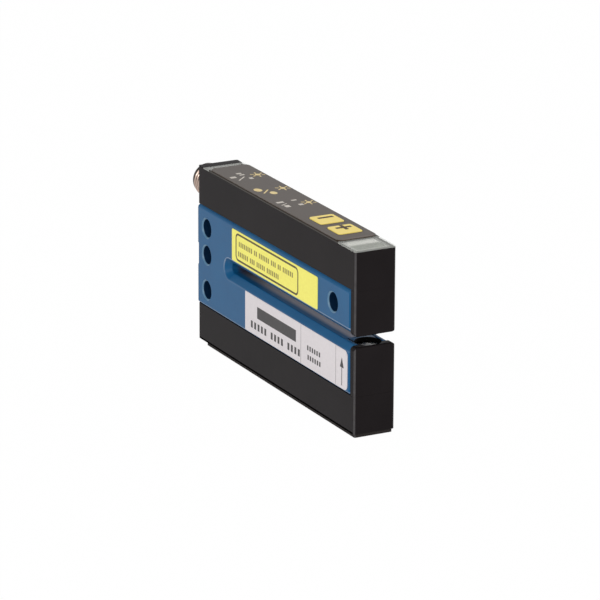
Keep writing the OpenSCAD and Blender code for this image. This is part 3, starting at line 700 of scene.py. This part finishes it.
thin_frame = round_frame(-17.9, 24.5, 12.0, 30.9, 1.3, 0.46)
stamp("yellow_label_frame", brown_ink, thin_frame, on_label, "sensor")
yellow_rows = dashes(-16.3, 28.0, 1.15, [8, 2, 6, 3, 2, 6], 0.5, 0.34)
yellow_rows += dashes(-16.6, 25.7, 1.15, [6, 3, 5, 7], 0.5, 0.34)
stamp("yellow_label_print", pale_brown_ink, yellow_rows, on_label, "sensor")

stamp("white_label_bar", black_ink, [bar(-7.4, 13.9, 11.0, 16.6)], on_label, "sensor")
large_row = dashes(-10.4, 11.1, 1.6, [5, 4, 4], 0.9, 0.72)
small_rows = dashes(16.2, 13.7, 1.1, [6], 0.62, 0.45) + dashes(16.4, 11.6, 1.1, [6], 0.62, 0.45)
arrow = [bar(31.87, 10.5, 32.13, 14.6), [(31.15, 14.5), (32.85, 14.5), (32.0, 16.8)]]
stamp("white_label_print", black_ink, large_row + small_rows + arrow, on_label, "sensor")
cell_lines = [bar(13.2, 9.85, 13.36, 18.6), bar(29.17, 9.85, 29.33, 18.6)]
stamp("white_label_lines", pale_ink, cell_lines, on_label, "sensor")


# Plug at the back
# A turned and threaded brass shell, nickel plated, pushed through the end wall against a rubber ring. A
# black insert inside it carries four gold contact pins.
shell_low, shell_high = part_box("connector_shell")
plug_z = 36.25
thread_front = shell_low.x / MM
thread_back = -37.3
thread_radius = 3.9
thread_root = 3.35
thread_pitch = 1.0
crest_half = 0.07      # half the flat crest, as a share of the pitch
flank = 0.36           # one flank, as a share of the pitch
run_out = 0.6          # the thread falls off to its root over this length
run_out_slope = 0.3
lead_radius = 3.6
lead_length = 1.2
lead_fall = 0.15       # how far the plain lead-in ring narrows at its end
lead_round = 0.3
socket_radius = 3.1
socket_floor = -38.0
socket_chamfer = 0.12
insert_radius = 2.5
shank_radius = 3.2
shank_end = shell_high.x / MM
around = 96            # points in a row
steps = 64             # rows along the thread

# Each row is a ring of points around the plug's axis, with its place and radius. From the socket's floor
# the rows go out over the rim and back along the thread, and the last joins the first.
rows = [[(socket_floor, socket_radius)] * around, [(thread_front + socket_chamfer, socket_radius)] * around,
        [(thread_front, socket_radius + socket_chamfer)] * around]
for i in range(steps + 1):
    x = thread_front + (thread_back - thread_front) * i / steps
    row = []
    for k in range(around):
        phase = (x / thread_pitch + k / around) % 1.0
        fall = min(1.0, max(0.0, (abs(phase - 0.5) - crest_half) / flank))
        radius = thread_root + (thread_radius - thread_root) * (1 - fall)
        if x < thread_front + lead_length:
            radius = lead_radius - lead_fall * max(0.0, 1 - (x - thread_front) / lead_round)
        if x > thread_back - run_out:
            radius = min(radius, thread_root + (thread_back - x) * run_out_slope)
        row.append((x, radius))
    rows.append(row)
rows += [[(thread_back, shank_radius)] * around, [(shank_end, shank_radius)] * around,
         [(shank_end, insert_radius)] * around, [(socket_floor, insert_radius)] * around]
points = []
for row in rows:
    for k, (x, radius) in enumerate(row):
        t = 2 * math.pi * k / around
        points.append((x * MM, radius * math.cos(t) * MM, (plug_z + radius * math.sin(t)) * MM))
faces = []
for i in range(len(rows)):
    j = (i + 1) % len(rows)
    for k in range(around):
        m = (k + 1) % around
        faces.append((i * around + k, j * around + k, j * around + m, i * around + m))
shell_mesh = bpy.data.meshes.new("threaded_plug_shell")
shell_mesh.from_pydata(points, [], faces)
form = bmesh.new()
form.from_mesh(shell_mesh)
bmesh.ops.recalc_face_normals(form, faces=form.faces)
for face in form.faces:
    face.smooth = True
form.to_mesh(shell_mesh)
form.free()
thread_crease = math.radians(28)
shell_mesh.set_sharp_from_angle(angle=thread_crease)

# Nickel plate on turned brass: warm grey metal with turning marks. The roots are darkened as painted shade,
# and the plain lead-in ring as a painted dark reflection. The marks are drawn nearly a millimetre apart,
# coarser than real ones, so that they show. At a scale of one the wave pattern turns by 20 radians in a
# unit.
turning_mark = 0.3 * math.pi * MM
root_shade = 0.2        # the painted shade of a root reaches this far up its thread
crest_bright = 0.48    # and from here up the metal is bright
nickel_plate, tree = new_material("nickel plated brass, turned")
spot = add(tree, "ShaderNodeTexCoord")
marks = add(tree, "ShaderNodeTexWave", {
    "Vector": spot.outputs["Object"], "Scale": 2 * math.pi / 20 / turning_mark, "Distortion": 2.0,
    "Detail": 2}, bands_direction="X")
across = add(tree, "ShaderNodeVectorMath", {0: spot.outputs["Object"], 1: (0, 1, 1)}, operation="MULTIPLY")
out = add(tree, "ShaderNodeVectorMath", {0: across.outputs[0], 1: (0, 0, plug_z * MM)}, operation="DISTANCE")
crest = add(tree, "ShaderNodeMapRange", {
    "Value": out.outputs["Value"], "From Min": (thread_root + root_shade) * MM,
    "From Max": (thread_root + crest_bright) * MM})
tone = add(tree, "ShaderNodeMix", {0: crest.outputs["Result"], 6: linear("#3a302b"), 7: linear("#c4ada0")},
           data_type="RGBA")
along = add(tree, "ShaderNodeSeparateXYZ", {"Vector": spot.outputs["Object"]})
# The plain lead-in ring gets a dark tone as a painted dark reflection.
lead = add(tree, "ShaderNodeMath", {0: along.outputs["X"], 1: (thread_front + lead_length) * MM},
           operation="LESS_THAN")
tone = add(tree, "ShaderNodeMix", {0: lead.outputs[0], 6: tone.outputs[2], 7: linear("#453c34")},
           data_type="RGBA")
gloss = add(tree, "ShaderNodeMapRange", {"Value": marks.outputs["Fac"], "To Min": 0.16, "To Max": 0.26})
shader = add(tree, "ShaderNodeBsdfPrincipled", {
    "Base Color": tone.outputs[2], "Metallic": 1.0, "Roughness": gloss.outputs["Result"]})
add(tree, "ShaderNodeOutputMaterial", {"Surface": shader.outputs[0]})
shell = place(shell_mesh, "threaded_plug_shell", nickel_plate, "sensor")
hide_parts("connector_shell")

dress("connector_insert", black_plastic)
for number in "1234":
    rounded_copy("connector_pin_" + number, "contact_pin_" + number, 0.15 * MM, gold_plate)
# Seal ring: soft black rubber with a dull, dusty skin.
seal_rubber = mottled("black nitrile rubber", "#161616", "#1f1f1f", 0.3 * MM, (0.6, 0.75), 0.2)
dress("connector_seal", seal_rubber)


# White studio
# A pale floor and a white room, lit by one large soft lamp in front of the labels and the fork tips. The
# room is white where it is seen directly; mirrored, it is white near the floor and darker overhead.
scene = bpy.context.scene
scene.view_settings.view_transform = "Standard"
white = linear("#ffffff")
floor_half = 2000 * MM
floor_z = -0.05 * MM
floor_corners = [(a * floor_half, b * floor_half, floor_z) for a, b in bar(-1, -1, 1, 1)]
floor_mesh = bpy.data.meshes.new("floor")
floor_mesh.from_pydata(floor_corners, [], [(0, 1, 2, 3)])
floor = bpy.data.objects.new("floor", floor_mesh)
scene.collection.objects.link(floor)

# Matt white floor paint: nearly pure white where it is seen or mirrored, so only the shadow shows on it.
pale_floor, tree = new_material("pale studio floor")
path = add(tree, "ShaderNodeLightPath")
seen = add(tree, "ShaderNodeMath", {0: path.outputs["Is Camera Ray"], 1: path.outputs["Is Glossy Ray"]},
           operation="MAXIMUM")
seen = add(tree, "ShaderNodeMath", {0: seen.outputs[0], 1: path.outputs["Is Transmission Ray"]},
           operation="MAXIMUM")
share = add(tree, "ShaderNodeMath", {0: seen.outputs[0], 1: 0.99}, operation="MULTIPLY")
matt = add(tree, "ShaderNodeBsdfDiffuse", {"Color": linear("#f4f4f4")})
bright = add(tree, "ShaderNodeEmission", {"Color": white, "Strength": 1.0})
mixed = add(tree, "ShaderNodeMixShader", {0: share.outputs[0], 1: matt.outputs[0], 2: bright.outputs[0]})
add(tree, "ShaderNodeOutputMaterial", {"Surface": mixed.outputs[0]})
floor_mesh.materials.append(pale_floor)

room = bpy.data.worlds.new("white room")
scene.world = room
room.use_nodes = True
tree = room.node_tree
tree.nodes.clear()
path = add(tree, "ShaderNodeLightPath")
way = add(tree, "ShaderNodeTexCoord")
height = add(tree, "ShaderNodeSeparateXYZ", {"Vector": way.outputs["Generated"]})
ceiling = add(tree, "ShaderNodeMapRange", {
    "Value": height.outputs["Z"], "From Min": 0.33, "From Max": 0.5, "To Min": 1.0, "To Max": 0.08})
mirrored = add(tree, "ShaderNodeMath", {
    0: path.outputs["Is Glossy Ray"], 1: path.outputs["Is Transmission Ray"]}, operation="MAXIMUM")
fill = add(tree, "ShaderNodeBackground", {"Color": white, "Strength": 0.74})
wall = add(tree, "ShaderNodeBackground", {"Color": white, "Strength": ceiling.outputs["Result"]})
bright = add(tree, "ShaderNodeBackground", {"Color": white, "Strength": 1.0})
mixed = add(tree, "ShaderNodeMixShader", {0: mirrored.outputs[0], 1: fill.outputs[0], 2: wall.outputs[0]})
mixed = add(tree, "ShaderNodeMixShader", {
    0: path.outputs["Is Camera Ray"], 1: mixed.outputs[0], 2: bright.outputs[0]})
add(tree, "ShaderNodeOutputWorld", {"Surface": mixed.outputs[0]})

# The lamp and the camera are placed from a point in the middle of the sensor.
middle = Vector((0, 0, 20.92 * MM))
lamp_distance = 1000 * MM
lamp_way = Vector((0.55, -0.74, 0.42)).normalized()
lamp_data = bpy.data.lights.new("soft box", "AREA")
lamp_data.shape = "RECTANGLE"
lamp_data.size = 700 * MM
lamp_data.size_y = 500 * MM
lamp_data.energy = 3.6
lamp = bpy.data.objects.new("soft box", lamp_data)
lamp.location = middle + lamp_distance * lamp_way
lamp.rotation_euler = lamp_way.to_track_quat("Z", "Y").to_euler()
scene.collection.objects.link(lamp)

# The camera stands at the photograph's angle, on the side of the open fork tips.
azimuth = math.radians(62.40)
elevation = math.radians(17.74)
roll = math.radians(0.241)
distance = 937.9 * MM
back = Vector((math.sin(azimuth) * math.cos(elevation), -math.cos(azimuth) * math.cos(elevation),
               math.sin(elevation)))
level = Vector((math.cos(azimuth), math.sin(azimuth), 0))
upright = back.cross(level)
right = math.cos(roll) * level + math.sin(roll) * upright
up = math.cos(roll) * upright - math.sin(roll) * level
turned = Matrix((right, up, back)).transposed().to_4x4()
camera_data = bpy.data.cameras.new("camera")
camera_data.sensor_width = 36
camera_data.lens = 258
camera_data.shift_x = 0.01025
camera_data.shift_y = -0.00995
camera_data.clip_end = 10000 * MM
camera = bpy.data.objects.new("camera", camera_data)
camera.matrix_world = Matrix.Translation(middle + distance * back) @ turned
scene.collection.objects.link(camera)
scene.camera = camera
